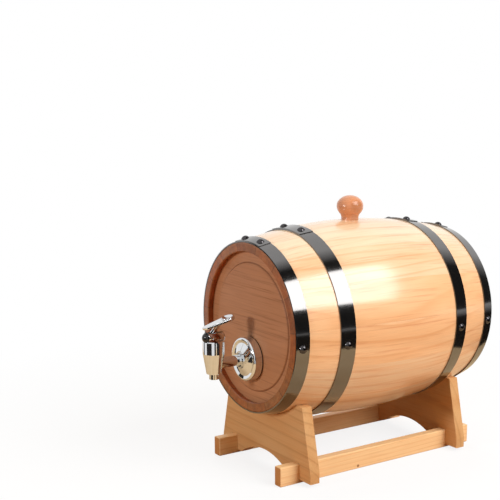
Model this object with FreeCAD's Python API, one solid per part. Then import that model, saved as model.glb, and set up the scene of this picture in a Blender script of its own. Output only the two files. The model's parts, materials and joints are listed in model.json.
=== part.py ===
import FreeCAD, Part
import math
import os

V = FreeCAD.Vector

# Driving dimensions, in millimetres and degrees.
# The cask lies along Y with its tap towards -Y. Z is up and the rails stand on z = 0.

# Cask
CASK_LENGTH = 266.0
BILGE_RADIUS = 105.0
CHIME_RADIUS = 88.5
STAVE_THICKNESS = 9.5
STAVE_COUNT = 15
STAVE_JOINT = 0.05
CHIME_BEVEL = 1.0
CASK_AXIS_HEIGHT = 154.6

# Heads and the croze groove that holds them
HEAD_RECESS = 7.0
HEAD_THICKNESS = 12.0
HEAD_TONGUE = 5.0
HEAD_FIELD_RADIUS = 68.0
HEAD_FIELD_RISE = 1.3
HEAD_FIELD_SLOPE = 1.6
HEAD_FIT = 0.15
CROZE_DEPTH = 2.5

# Hoops and rivets
HOOP_THICKNESS = 1.2
HOOP_SEAT = 0.03
END_HOOP_WIDTH = 13.8
END_HOOP_SETBACK = 0.4
QUARTER_HOOP_WIDTH = 16.7
HOOP_SPACING = 33.7
LAP_THICKNESS = 0.8
LAP_MARGIN_ANGLE = 5.5
FRONT_LAP_ANGLES = (80.5, 98.5)
REAR_LAP_ANGLES = (87.0, 105.0)
SIDE_RIVET_ANGLE = 4.0
RIVET_HEAD_RADIUS = 4.3
RIVET_HEAD_HEIGHT = 2.7
RIVET_SHANK_RADIUS = 1.6

# Bung
BUNG_HOLE_RADIUS = 9.6
BUNG_TAPER_ANGLE = 3.5
BUNG_FIT = 0.08
BUNG_PLUG_REACH = 6.0
KNOB_RADIUS = 14.6
KNOB_CENTRE_RISE = 14.5
KNOB_TOP_DEPTH = 11.6
KNOB_UNDER_DEPTH = 12.6
KNOB_NECK_HEIGHT = 3.0
KNOB_NECK_TOP_RADIUS = 10.6
KNOB_CROWN_FLAT = 0.4

# Tap: body and shank
TAP_DROP = 33.0
TAP_REACH = 39.8
SHANK_RADIUS = 5.6
SHANK_BORE_RADIUS = 3.0
THREAD_RADIUS = 6.0
SHANK_COLLAR_RADIUS = 7.6
SHANK_COLLAR_LENGTH = 2.5
SHANK_END = 4.0
BODY_TOP_RADIUS = 11.1
BODY_FOOT_RADIUS = 7.6
BODY_ABOVE_SHANK = 11.3
BODY_BELOW_SHANK = 9.8
CHAMBER_RADIUS = 6.5
SEAT_DROP = 3.5
NOZZLE_RADIUS = 4.8
NOZZLE_LENGTH = 5.9
NOZZLE_SPIGOT_RADIUS = 3.9
NOZZLE_SPIGOT_LENGTH = 3.0

# Tap: rosette, gaskets and nut
GASKET_THICKNESS = 1.5
ROSETTE_RADIUS = 23.0
ROSETTE_DEPTH = 9.8
ROSETTE_EDGE = 2.5
ROSETTE_WALL = 1.4
ROSETTE_DISH_RADIUS = 17.5
ROSETTE_DISH_DEPTH = 1.0
ROSETTE_CROWN_RADIUS = 9.0
ROSETTE_CROWN_RISE = 2.9
WASHER_RADIUS = 11.0
WASHER_THICKNESS = 2.0
NUT_ACROSS_FLATS = 19.0
NUT_THICKNESS = 7.0

# Tap: bonnet and the knuckle that carries the lever
BONNET_HEIGHT = 13.2
BONNET_EDGE = 0.8
BONNET_SKIRT = 4.0
BONNET_CHAMBER_RADIUS = 5.2
BONNET_ROOF = 2.5
KNUCKLE_RADIUS = 6.0
KNUCKLE_RISE = 3.6
KNUCKLE_FRONT = 8.2
KNUCKLE_REAR = 9.2
PLUG_RADIUS = 5.5
PLUG_DOME = 4.4
PLUG_CLEARANCE = 0.15
PLUG_PIN_RADIUS = 2.0
PLUG_PIN_LENGTH = 0.9
REAR_DOME = 3.6

# Tap: lever, pins, stem, seal and spring
LEVER_TRAVEL_ANGLE = 45.0
STEM_LIFT = 3.2
PIVOT_RADIUS = 1.0
LINK_RADIUS = 0.8
PIN_FIT = 0.05
FIXED_FIT = 0.02
SLOT_HALF_WIDTH = 3.0
FORK_OUTER = 2.7
FORK_INNER = 1.5
FORK_PIVOT_BOSS = 2.4
FORK_LINK_BOSS = 2.0
FORK_CLEARANCE = 0.5
EYE_HALF_THICKNESS = 1.1
EYE_HALF_WIDTH = 2.5
EYE_HALF_HEIGHT = 1.9
PADDLE_ANGLE = 14.6
PADDLE_OFFSET = 9.9
PADDLE_THICKNESS = 2.6
PADDLE_FRONT = 5.2
PADDLE_REAR = 32.1
PADDLE_ROOT_RADIUS = 4.2
PADDLE_TIP_RADIUS = 7.3
PADDLE_EDGE = 0.6
PAD_RISE = 1.0
DISH_RADIUS = 5.6
DISH_DEPTH = 1.5
STEM_RADIUS = 1.25
STEM_FIT = 0.1
STEM_FOOT_RADIUS = 5.0
STEM_FOOT_THICKNESS = 1.5
STEM_STUB_RADIUS = 1.6
STEM_STUB_LENGTH = 1.5
SEAL_THICKNESS = 3.0
SPRING_MEAN_RADIUS = 3.9
SPRING_WIRE_RADIUS = 0.45
SPRING_TURNS = 6
SPRING_SECTIONS = 16
SPRING_SIDES = 12
SPRING_SEAT = 0.05

# Cradle
FRONT_BOARD_GAP = 6.9
REAR_BOARD_GAP = 16.9
BOARD_THICKNESS = 12.0
BOARD_CLEAR = 3.5
BOARD_TOP = 81.4
BOARD_HALF_FOOT = 84.8
BOARD_HALF_TOP = 69.9
FOOT_HEIGHT = 11.5
BOARD_EDGE = 0.8
SADDLE_CLEARANCE = 0.3
ARCH_RADIUS = 78.0
ARCH_APEX = 18.8
RAIL_OVERHANG = 23.3
RAIL_WIDTH = 11.0
RAIL_HEIGHT = 20.6
RAIL_INNER = 54.6
RAIL_EDGE = 1.2
NOTCH_FIT = 0.1
SCREW_HEAD_RADIUS = 3.4
SCREW_HEAD_HEIGHT = 2.2
SCREW_RADIUS = 1.7
SCREW_LENGTH = 31.0
SCREW_RECESS = 0.6
SCREW_FIT = 0.05

# Sizes that follow from the ones above
HALF_LENGTH = CASK_LENGTH / 2
BILGE_RISE = BILGE_RADIUS - CHIME_RADIUS
STAVE_ARC = (HALF_LENGTH ** 2 + BILGE_RISE ** 2) / (2 * BILGE_RISE)
ARC_CENTRE = BILGE_RADIUS - STAVE_ARC
STAVE_ANGLE = 360.0 / STAVE_COUNT
JOINT_ANGLE = math.degrees(STAVE_JOINT / BILGE_RADIUS)
FIELD_DEPTH = HEAD_RECESS - HEAD_FIELD_RISE
KNUCKLE_HEIGHT = BODY_ABOVE_SHANK + BONNET_HEIGHT + KNUCKLE_RISE
LINK_ARM = STEM_LIFT / (2 * math.sin(math.radians(LEVER_TRAVEL_ANGLE / 2)))
LINK_ARM_REACH = LINK_ARM * math.cos(math.radians(LEVER_TRAVEL_ANGLE / 2))
PIVOT_SETBACK = (LINK_ARM + LINK_ARM_REACH) / 2
TAP_Y = -HALF_LENGTH - TAP_REACH
END_HOOP_CENTRE = HALF_LENGTH - END_HOOP_SETBACK - END_HOOP_WIDTH / 2
END_HOOP_INSIDE = END_HOOP_CENTRE - END_HOOP_WIDTH / 2
QUARTER_HOOP_CENTRE = END_HOOP_INSIDE - HOOP_SPACING - QUARTER_HOOP_WIDTH / 2
FRONT_REACH = HALF_LENGTH + TAP_REACH + KNUCKLE_FRONT + PLUG_DOME
CASK_Y = (FRONT_REACH - HALF_LENGTH) / 2
CASK_CENTRE = V(0, CASK_Y, CASK_AXIS_HEIGHT)


def surface_radius(y, offset):
    """Radius at y of the staves' outer curve moved outwards by offset."""
    return ARC_CENTRE + math.sqrt((STAVE_ARC + offset) ** 2 - y ** 2)


def line(a, b):
    return Part.makeLine(a, b)


def curve_along(y_start, y_end, offset):
    """Arc of the stave curve, moved outwards by offset, in the XY plane."""
    points = []
    for y in (y_start, (y_start + y_end) / 2, y_end):
        points.append(V(surface_radius(y, offset), y, 0))
    return Part.Arc(*points).toShape()


def loop(points):
    """Closed wire of straight edges through points."""
    return Part.makePolygon(points + [points[0]])


def turned(profile, axis, angle=360.0):
    """Solid made by turning a closed profile about an axis through the origin."""
    return Part.Face(profile).revolve(V(0, 0, 0), axis, angle)


def swing(shape, angle):
    """Turn a shape about the cask's axis, from +X towards +Z."""
    return shape.rotated(V(0, 0, 0), V(0, -1, 0), angle)


def rod(radius, start, direction, length):
    return Part.makeCylinder(radius, length, start, direction)


def slab(low, high):
    """Box between two corners."""
    return Part.makeBox(high.x - low.x, high.y - low.y, high.z - low.z, low)


def cap(radius, height):
    """Spherical cap on z = 0, rising along +Z."""
    ball = (radius ** 2 + height ** 2) / (2 * height)
    start = math.degrees(math.asin((ball - height) / ball))
    return Part.makeSphere(ball, V(0, 0, height - ball), V(0, 0, 1), start, 90, 360)


def facing(shape, direction, position):
    """Take a shape made along +Z, point it along a direction and move it."""
    turn = FreeCAD.Rotation(V(0, 0, 1), direction)
    return shape.transformed(FreeCAD.Placement(position, turn).toMatrix())


# Cask
def stave_profile():
    """Section of the stave wall, with bevelled ends and a croze groove at each end."""
    bevelled = HALF_LENGTH - CHIME_BEVEL
    groove_outer = HALF_LENGTH - HEAD_RECESS
    groove_inner = groove_outer - HEAD_TONGUE
    outer = surface_radius(HALF_LENGTH, 0)
    inner = surface_radius(HALF_LENGTH, -STAVE_THICKNESS)
    croze = croze_radius()
    edges = [curve_along(-bevelled, bevelled, 0)]
    for end in (1, -1):
        points = [
            V(surface_radius(bevelled, 0), end * bevelled, 0),
            V(outer - CHIME_BEVEL, end * HALF_LENGTH, 0),
            V(inner + CHIME_BEVEL, end * HALF_LENGTH, 0),
            V(surface_radius(bevelled, -STAVE_THICKNESS), end * bevelled, 0),
        ]
        edges += [line(a, b) for a, b in zip(points, points[1:])]
        edges.append(curve_along(end * bevelled, end * groove_outer, -STAVE_THICKNESS))
        notch = [
            V(surface_radius(groove_outer, -STAVE_THICKNESS), end * groove_outer, 0),
            V(croze, end * groove_outer, 0),
            V(croze, end * groove_inner, 0),
            V(surface_radius(groove_inner, -STAVE_THICKNESS), end * groove_inner, 0),
        ]
        edges += [line(a, b) for a, b in zip(notch, notch[1:])]
    edges.append(curve_along(-groove_inner, groove_inner, -STAVE_THICKNESS))
    return Part.Wire(Part.__sortEdges__(edges))


def croze_radius():
    return surface_radius(HALF_LENGTH - HEAD_RECESS, -STAVE_THICKNESS) + CROZE_DEPTH


def bung_radius(height):
    """Radius of the tapered bung hole, at a height above the cask's axis."""
    return BUNG_HOLE_RADIUS + (height - BILGE_RADIUS) * math.tan(math.radians(BUNG_TAPER_ANGLE))


def make_stave(index):
    centre = 90 + index * STAVE_ANGLE
    wall = turned(stave_profile(), V(0, -1, 0), STAVE_ANGLE - JOINT_ANGLE)
    return swing(wall, centre - (STAVE_ANGLE - JOINT_ANGLE) / 2)


def make_bung_stave():
    """The top stave, with the tapered hole for the bung."""
    low = BILGE_RADIUS - 2 * STAVE_THICKNESS
    high = BILGE_RADIUS + STAVE_THICKNESS
    hole = Part.makeCone(bung_radius(low), bung_radius(high), high - low, V(0, 0, low), V(0, 0, 1))
    return make_stave(0).cut(hole)


def make_head():
    """Head with its raised field towards -Y, turned about the cask's axis."""
    tongue = croze_radius() - HEAD_FIT
    disc = surface_radius(HALF_LENGTH - HEAD_RECESS, -STAVE_THICKNESS) - HEAD_FIT
    field = HEAD_FIELD_RADIUS
    profile = [
        (0, FIELD_DEPTH),
        (field - HEAD_FIELD_SLOPE, FIELD_DEPTH),
        (field, HEAD_RECESS),
        (tongue, HEAD_RECESS),
        (tongue, HEAD_RECESS + HEAD_TONGUE),
        (disc, HEAD_RECESS + HEAD_TONGUE),
        (disc, HEAD_RECESS + HEAD_THICKNESS),
        (0, HEAD_RECESS + HEAD_THICKNESS),
    ]
    return turned(loop([V(r, depth - HALF_LENGTH, 0) for r, depth in profile]), V(0, 1, 0))


def make_front_head():
    hole = rod(THREAD_RADIUS + PIN_FIT, V(0, -HALF_LENGTH, -TAP_DROP), V(0, 1, 0), CASK_LENGTH / 4)
    return make_head().cut(hole)


def make_rear_head():
    return make_head().rotated(V(0, 0, 0), V(0, 0, 1), 180)


# Hoops and rivets
def band_profile(y_start, y_end, inner, outer):
    """Section of a hoop between two offsets from the staves' curve."""
    edges = [
        curve_along(y_start, y_end, inner),
        line(V(surface_radius(y_end, inner), y_end, 0), V(surface_radius(y_end, outer), y_end, 0)),
        curve_along(y_start, y_end, outer),
        line(V(surface_radius(y_start, inner), y_start, 0), V(surface_radius(y_start, outer), y_start, 0)),
    ]
    return Part.Wire(Part.__sortEdges__(edges))


def rivet_frame(y, angle, offset):
    """Point and outward direction on the hoop's surface."""
    slope = math.asin(y / (STAVE_ARC + offset))
    radius = surface_radius(y, offset)
    turn = math.radians(angle)
    point = V(radius * math.cos(turn), y, radius * math.sin(turn))
    across = math.cos(slope)
    return point, V(across * math.cos(turn), math.sin(slope), across * math.sin(turn))


def rivet_places(centre, lap_angles):
    """Places of a hoop's rivets: the pair at the lap, and one on each side."""
    outer = HOOP_SEAT + HOOP_THICKNESS
    places = [rivet_frame(centre, angle, outer + LAP_THICKNESS) + (LAP_THICKNESS,) for angle in lap_angles]
    for angle in (-SIDE_RIVET_ANGLE, 180 + SIDE_RIVET_ANGLE):
        places.append(rivet_frame(centre, angle, outer) + (0,))
    return places


def make_hoop(centre, width, lap_angles):
    """Closed steel hoop with its riveted lap and the rivets' holes."""
    outer = HOOP_SEAT + HOOP_THICKNESS
    low, high = centre - width / 2, centre + width / 2
    ring = turned(band_profile(low, high, HOOP_SEAT, outer), V(0, -1, 0))
    first, last = lap_angles[0] - LAP_MARGIN_ANGLE, lap_angles[1] + LAP_MARGIN_ANGLE
    lap = turned(band_profile(low, high, HOOP_SEAT, outer + LAP_THICKNESS), V(0, -1, 0), last - first)
    hoop = ring.fuse(swing(lap, first))
    for point, outward, lap_part in rivet_places(centre, lap_angles):
        depth = 2 * (HOOP_THICKNESS + LAP_THICKNESS)
        hoop = hoop.cut(rod(RIVET_SHANK_RADIUS + PIN_FIT, point - outward * depth, outward, 2 * depth))
    return hoop


def make_rivets(centre, lap_angles):
    """Dome-headed rivets of one hoop."""
    rivets = []
    for point, outward, lap_part in rivet_places(centre, lap_angles):
        head = facing(cap(RIVET_HEAD_RADIUS, RIVET_HEAD_HEIGHT), outward, point)
        length = HOOP_THICKNESS + lap_part
        rivets.append(head.fuse(rod(RIVET_SHANK_RADIUS, point - outward * length, outward, length)))
    return Part.makeCompound(rivets)


# Bung
def make_bung():
    """Turned knob on a tapered plug, on the cask's own Z axis."""
    foot = BILGE_RADIUS - STAVE_THICKNESS - BUNG_PLUG_REACH
    centre = BILGE_RADIUS + KNOB_CENTRE_RISE
    neck_radius = BUNG_HOLE_RADIUS - BUNG_FIT
    middle = V(0, 0, centre)
    side = V(KNOB_RADIUS, 0, centre)
    upper = Part.Ellipse(side, V(0, 0, centre + KNOB_TOP_DEPTH), middle)
    lower = Part.Ellipse(side, V(0, 0, centre - KNOB_UNDER_DEPTH), middle)
    shoulder = math.acos(KNOB_NECK_TOP_RADIUS / KNOB_RADIUS)
    crown = math.acos(KNOB_CROWN_FLAT / KNOB_RADIUS)
    points = [
        lower.value(shoulder),
        V(neck_radius, 0, BILGE_RADIUS + KNOB_NECK_HEIGHT),
        V(neck_radius, 0, BILGE_RADIUS),
        V(bung_radius(foot) - BUNG_FIT, 0, foot),
        V(0, 0, foot),
        V(0, 0, upper.value(crown).z),
        upper.value(crown),
    ]
    edges = [upper.toShape(0, crown), lower.toShape(0, shoulder)]
    edges += [line(a, b) for a, b in zip(points, points[1:])]
    return turned(Part.Wire(Part.__sortEdges__(edges)), V(0, 0, 1))


# Tap. Its heights are above the shank's axis and its y is from the body's own axis.
def tap_point(x, y, height):
    return V(x, TAP_Y + y, height - TAP_DROP)


def tap_turned(profile):
    """Solid turned about the body's upright axis from (radius, height) points."""
    solid = turned(loop([V(r, 0, height) for r, height in profile]), V(0, 0, 1))
    return solid.translated(tap_point(0, 0, 0))


def shank_turned(profile):
    """Solid turned about the shank's axis from (radius, y) points in the cask's frame."""
    solid = turned(loop([V(r, y, 0) for r, y in profile]), V(0, 1, 0))
    return solid.translated(V(0, 0, -TAP_DROP))


def field_y():
    """The plane of the front head's raised field."""
    return -HALF_LENGTH + FIELD_DEPTH


def rosette_back():
    return field_y() - GASKET_THICKNESS


def head_inside():
    return -HALF_LENGTH + HEAD_RECESS + HEAD_THICKNESS


def nut_face():
    return head_inside() + WASHER_THICKNESS + NUT_THICKNESS


def rosette_front():
    """Where the shank's collar bears on the rosette."""
    return rosette_back() - ROSETTE_DEPTH - ROSETTE_CROWN_RISE


def make_tap_body():
    """Tapered body and shank in one casting, with the valve chamber and the water way."""
    collar = rosette_front() - SHANK_COLLAR_LENGTH
    shank_end = nut_face() + SHANK_END
    body = tap_turned([
        (0, -BODY_BELOW_SHANK),
        (BODY_FOOT_RADIUS, -BODY_BELOW_SHANK),
        (BODY_TOP_RADIUS, BODY_ABOVE_SHANK),
        (0, BODY_ABOVE_SHANK),
    ])
    shank = shank_turned([
        (0, TAP_Y),
        (SHANK_RADIUS, TAP_Y),
        (SHANK_RADIUS, collar),
        (SHANK_COLLAR_RADIUS, collar),
        (SHANK_COLLAR_RADIUS, rosette_front()),
        (THREAD_RADIUS, rosette_front()),
        (THREAD_RADIUS, shank_end),
        (0, shank_end),
    ])
    chamber = tap_turned([
        (0, -SEAT_DROP),
        (CHAMBER_RADIUS, -SEAT_DROP),
        (CHAMBER_RADIUS, BODY_ABOVE_SHANK + 1),
        (0, BODY_ABOVE_SHANK + 1),
    ])
    outlet = rod(SHANK_BORE_RADIUS, tap_point(0, 0, -BODY_BELOW_SHANK - 1), V(0, 0, 1), BODY_BELOW_SHANK)
    socket = rod(
        NOZZLE_SPIGOT_RADIUS + PIN_FIT, tap_point(0, 0, -BODY_BELOW_SHANK), V(0, 0, 1), NOZZLE_SPIGOT_LENGTH
    )
    bore = rod(SHANK_BORE_RADIUS, tap_point(0, 0, 0), V(0, 1, 0), shank_end - TAP_Y + 1)
    return body.fuse(shank).cut([chamber, outlet, socket, bore]).removeSplitter()


def make_nozzle():
    foot = -BODY_BELOW_SHANK - NOZZLE_LENGTH
    spigot_top = NOZZLE_SPIGOT_LENGTH - BODY_BELOW_SHANK - PIN_FIT
    return tap_turned([
        (SHANK_BORE_RADIUS, foot),
        (NOZZLE_RADIUS, foot),
        (NOZZLE_RADIUS, -BODY_BELOW_SHANK),
        (NOZZLE_SPIGOT_RADIUS, -BODY_BELOW_SHANK),
        (NOZZLE_SPIGOT_RADIUS, spigot_top),
        (SHANK_BORE_RADIUS, spigot_top),
    ])


def make_rosette():
    """Pressed cup: a deep flank, a rounded edge, a shallow dish and a crown at the shank."""
    back = rosette_back()
    front = back - ROSETTE_DEPTH
    bore = THREAD_RADIUS + PIN_FIT
    wall = ROSETTE_WALL
    edge = ROSETTE_EDGE
    corner = 1 - math.sqrt(0.5)
    outer_edge = Part.Arc(
        V(ROSETTE_RADIUS, front + edge, 0),
        V(ROSETTE_RADIUS - edge * corner, front + edge * corner, 0),
        V(ROSETTE_RADIUS - edge, front, 0),
    ).toShape()
    outer = [
        V(ROSETTE_RADIUS - edge, front, 0),
        V(ROSETTE_DISH_RADIUS, front + ROSETTE_DISH_DEPTH, 0),
        V(ROSETTE_CROWN_RADIUS, front - ROSETTE_CROWN_RISE, 0),
        V(bore, front - ROSETTE_CROWN_RISE, 0),
        V(bore, front - ROSETTE_CROWN_RISE + wall, 0),
        V(ROSETTE_CROWN_RADIUS - wall, front - ROSETTE_CROWN_RISE + wall, 0),
        V(ROSETTE_DISH_RADIUS - wall, front + ROSETTE_DISH_DEPTH + wall, 0),
        V(ROSETTE_RADIUS - wall - edge / 2, front + wall, 0),
        V(ROSETTE_RADIUS - wall, front + edge, 0),
        V(ROSETTE_RADIUS - wall, back, 0),
        V(ROSETTE_RADIUS, back, 0),
        V(ROSETTE_RADIUS, front + edge, 0),
    ]
    edges = [outer_edge] + [line(a, b) for a, b in zip(outer, outer[1:])]
    solid = turned(Part.Wire(Part.__sortEdges__(edges)), V(0, 1, 0))
    return solid.translated(V(0, 0, -TAP_DROP))


def make_washer(radius, y_start, thickness):
    """Flat ring round the shank."""
    bore = THREAD_RADIUS + PIN_FIT
    y_end = y_start + thickness
    return shank_turned([(bore, y_start), (radius, y_start), (radius, y_end), (bore, y_end)])


def make_back_nut():
    across_corners = NUT_ACROSS_FLATS / math.sqrt(3)
    corners = []
    for step in range(6):
        turn = math.radians(60 * step)
        corners.append(V(across_corners * math.cos(turn), 0, across_corners * math.sin(turn)))
    start = V(0, nut_face() - NUT_THICKNESS, -TAP_DROP)
    prism = Part.Face(loop(corners)).extrude(V(0, NUT_THICKNESS, 0)).translated(start)
    return prism.cut(rod(THREAD_RADIUS + PIN_FIT, start, V(0, 1, 0), NUT_THICKNESS))


def slot_floor():
    return KNUCKLE_HEIGHT - STEM_LIFT / 2 - FORK_LINK_BOSS - FORK_CLEARANCE


def chamber_roof():
    return slot_floor() - BONNET_ROOF


def make_bonnet():
    """Cylinder screwed on the body, with the knuckle on top that holds the lever."""
    top = BODY_ABOVE_SHANK + BONNET_HEIGHT
    skirt = BODY_ABOVE_SHANK - BONNET_SKIRT
    shell = tap_turned([
        (0, skirt),
        (CHAMBER_RADIUS - PIN_FIT, skirt),
        (CHAMBER_RADIUS - PIN_FIT, BODY_ABOVE_SHANK),
        (BODY_TOP_RADIUS, BODY_ABOVE_SHANK),
        (BODY_TOP_RADIUS, top - BONNET_EDGE),
        (BODY_TOP_RADIUS - BONNET_EDGE, top),
        (0, top),
    ])
    knuckle = rod(
        KNUCKLE_RADIUS, tap_point(0, -KNUCKLE_FRONT, KNUCKLE_HEIGHT), V(0, 1, 0), KNUCKLE_FRONT + KNUCKLE_REAR
    )
    dome = facing(cap(KNUCKLE_RADIUS, REAR_DOME), V(0, 1, 0), tap_point(0, KNUCKLE_REAR, KNUCKLE_HEIGHT))
    roof = chamber_roof()
    slot_front = -PIVOT_SETBACK - FORK_PIVOT_BOSS - FORK_CLEARANCE
    slot_rear = -PIVOT_SETBACK + LINK_ARM + FORK_LINK_BOSS + 2 * FORK_CLEARANCE
    cuts = [
        rod(BONNET_CHAMBER_RADIUS, tap_point(0, 0, skirt), V(0, 0, 1), roof - skirt),
        rod(STEM_RADIUS + STEM_FIT, tap_point(0, 0, roof - 1), V(0, 0, 1), BONNET_ROOF + 2),
        slab(
            tap_point(-SLOT_HALF_WIDTH, slot_front, slot_floor()),
            tap_point(SLOT_HALF_WIDTH, slot_rear, KNUCKLE_HEIGHT + 2 * KNUCKLE_RADIUS),
        ),
        rod(
            PIVOT_RADIUS + FIXED_FIT,
            tap_point(-2 * KNUCKLE_RADIUS, -PIVOT_SETBACK, KNUCKLE_HEIGHT),
            V(1, 0, 0),
            4 * KNUCKLE_RADIUS,
        ),
        rod(PLUG_PIN_RADIUS + PIN_FIT, tap_point(0, -KNUCKLE_FRONT, KNUCKLE_HEIGHT), V(0, 1, 0), PLUG_PIN_LENGTH),
        facing(
            cap(PLUG_RADIUS + PLUG_CLEARANCE, PLUG_DOME + PLUG_CLEARANCE),
            V(0, -1, 0),
            tap_point(0, -KNUCKLE_FRONT, KNUCKLE_HEIGHT),
        ),
    ]
    return shell.fuse([knuckle, dome]).cut(cuts).removeSplitter()


def make_knuckle_plug():
    """Domed plug in the knuckle's front end."""
    face = tap_point(0, -KNUCKLE_FRONT, KNUCKLE_HEIGHT)
    dome = facing(cap(PLUG_RADIUS, PLUG_DOME), V(0, -1, 0), face)
    return dome.fuse(rod(PLUG_PIN_RADIUS, face, V(0, 1, 0), PLUG_PIN_LENGTH - PIN_FIT))


def make_pivot_pin():
    half = KNUCKLE_RADIUS - FORK_CLEARANCE
    return rod(PIVOT_RADIUS, tap_point(-half, -PIVOT_SETBACK, KNUCKLE_HEIGHT), V(1, 0, 0), 2 * half)


def strap(centre_a, radius_a, centre_b, radius_b, thickness, outward):
    """Plate with two round ends joined by their common tangents, thickened along outward."""
    along = centre_b - centre_a
    span = along.Length
    along.normalize()
    side = outward.cross(along)
    lean = math.asin((radius_a - radius_b) / span)
    rim = []
    for hand in (1, -1):
        normal = along * math.sin(lean) + side * (hand * math.cos(lean))
        rim.append((centre_a + normal * radius_a, centre_b + normal * radius_b))
    edges = [
        line(rim[0][0], rim[0][1]),
        Part.Arc(rim[0][1], centre_b + along * radius_b, rim[1][1]).toShape(),
        line(rim[1][1], rim[1][0]),
        Part.Arc(rim[1][0], centre_a - along * radius_a, rim[0][0]).toShape(),
    ]
    return Part.Face(Part.Wire(edges)).extrude(outward * thickness)


def link_rest():
    """Link pin's place at rest, from the lever's pivot."""
    return V(0, LINK_ARM_REACH, -STEM_LIFT / 2)


def make_fork_cheek(x_start):
    """One cheek of the fork, from the lever's pivot: pivot boss, link boss and riser."""
    thickness = FORK_OUTER - FORK_INNER
    shift = V(x_start, 0, 0)
    outward = V(1, 0, 0)
    arm = strap(shift, FORK_PIVOT_BOSS, shift + link_rest(), FORK_LINK_BOSS, thickness, outward)
    tilt = math.radians(PADDLE_ANGLE)
    under = PADDLE_OFFSET + PADDLE_THICKNESS / 4
    roots = []
    for u in (FORK_PIVOT_BOSS * 5.3, FORK_PIVOT_BOSS * 7.4):
        roots.append(V(x_start, u * math.cos(tilt) - under * math.sin(tilt), u * math.sin(tilt) + under * math.cos(tilt)))
    lean = FORK_PIVOT_BOSS * math.sqrt(0.5) * 0.95
    riser = loop([
        V(x_start, -lean, lean),
        roots[0],
        roots[1],
        V(x_start, LINK_ARM_REACH + FORK_LINK_BOSS, KNUCKLE_RADIUS + FORK_CLEARANCE / 2),
        V(x_start, LINK_ARM_REACH + FORK_LINK_BOSS, -STEM_LIFT / 2),
    ])
    cheek = arm.fuse(Part.Face(riser).extrude(outward * thickness))
    pivot = rod(PIVOT_RADIUS + PIN_FIT, shift - outward, outward, thickness + 2)
    link = rod(LINK_RADIUS + FIXED_FIT, shift + link_rest() - outward, outward, thickness + 2)
    return cheek.cut([pivot, link])


def make_paddle():
    """Flat paddle with a dished thumb end, from the lever's pivot, before it is tilted."""
    root = V(0, PADDLE_ROOT_RADIUS - PADDLE_FRONT, PADDLE_OFFSET)
    tip = V(0, PADDLE_REAR - PADDLE_TIP_RADIUS, PADDLE_OFFSET)
    up = V(0, 0, 1)
    plate = strap(root, PADDLE_ROOT_RADIUS, tip, PADDLE_TIP_RADIUS, PADDLE_THICKNESS, up)
    plate = plate.makeFillet(PADDLE_EDGE, plate.Edges)
    pad = rod(PADDLE_TIP_RADIUS - PADDLE_EDGE, tip, up, PADDLE_THICKNESS + PAD_RISE)
    rim = [edge for edge in pad.Edges if edge.BoundBox.ZMin > tip.z + PADDLE_THICKNESS]
    pad = pad.makeFillet(PAD_RISE * 0.6, rim)
    ball = (DISH_RADIUS ** 2 + DISH_DEPTH ** 2) / (2 * DISH_DEPTH)
    face = PADDLE_OFFSET + PADDLE_THICKNESS + PAD_RISE
    dish = Part.makeSphere(ball, V(0, tip.y, face + ball - DISH_DEPTH))
    return plate.fuse(pad).cut(dish)


def make_lever():
    paddle = make_paddle().rotated(V(0, 0, 0), V(1, 0, 0), PADDLE_ANGLE)
    cheeks = [make_fork_cheek(FORK_INNER), make_fork_cheek(-FORK_OUTER)]
    return paddle.fuse(cheeks).translated(tap_point(0, -PIVOT_SETBACK, KNUCKLE_HEIGHT))


def make_link_pin():
    place = tap_point(0, -PIVOT_SETBACK, KNUCKLE_HEIGHT) + link_rest()
    return rod(LINK_RADIUS, place - V(FORK_OUTER, 0, 0), V(1, 0, 0), 2 * FORK_OUTER)


def seal_top():
    return SEAL_THICKNESS - SEAT_DROP


def make_stem():
    """Valve stem: foot, stub in the seal, rod, and the slotted eye for the link pin."""
    eye_height = KNUCKLE_HEIGHT - STEM_LIFT / 2
    eye_low = eye_height - EYE_HALF_HEIGHT
    foot_top = seal_top() + STEM_FOOT_THICKNESS
    stub = seal_top() - STEM_STUB_LENGTH
    shaft = tap_turned([
        (0, stub),
        (STEM_STUB_RADIUS, stub),
        (STEM_STUB_RADIUS, seal_top()),
        (STEM_FOOT_RADIUS, seal_top()),
        (STEM_FOOT_RADIUS, foot_top),
        (STEM_RADIUS, foot_top),
        (STEM_RADIUS, eye_height),
        (0, eye_height),
    ])
    eye = slab(
        tap_point(-EYE_HALF_THICKNESS, -EYE_HALF_WIDTH, eye_low),
        tap_point(EYE_HALF_THICKNESS, EYE_HALF_WIDTH, eye_height + EYE_HALF_HEIGHT),
    )
    shift = (LINK_ARM - LINK_ARM_REACH) / 2
    half_length = LINK_RADIUS + shift + 2 * PIN_FIT
    half_height = LINK_RADIUS + 2 * PIN_FIT
    flats = slab(
        tap_point(EYE_HALF_THICKNESS, -EYE_HALF_WIDTH, eye_low),
        tap_point(2 * EYE_HALF_THICKNESS, EYE_HALF_WIDTH, eye_height + EYE_HALF_HEIGHT),
    )
    other_flats = flats.mirror(tap_point(0, 0, 0), V(1, 0, 0))
    slot = slab(
        tap_point(-2 * EYE_HALF_THICKNESS, -half_length, eye_height - half_height),
        tap_point(2 * EYE_HALF_THICKNESS, half_length, eye_height + half_height),
    )
    return shaft.fuse(eye).cut([flats, other_flats, slot])


def make_seal():
    stub = SEAL_THICKNESS - SEAT_DROP - STEM_STUB_LENGTH - PIN_FIT
    hole = STEM_STUB_RADIUS + PIN_FIT
    return tap_turned([
        (0, -SEAT_DROP),
        (STEM_FOOT_RADIUS, -SEAT_DROP),
        (STEM_FOOT_RADIUS, seal_top()),
        (hole, seal_top()),
        (hole, stub),
        (0, stub),
    ])


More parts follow.
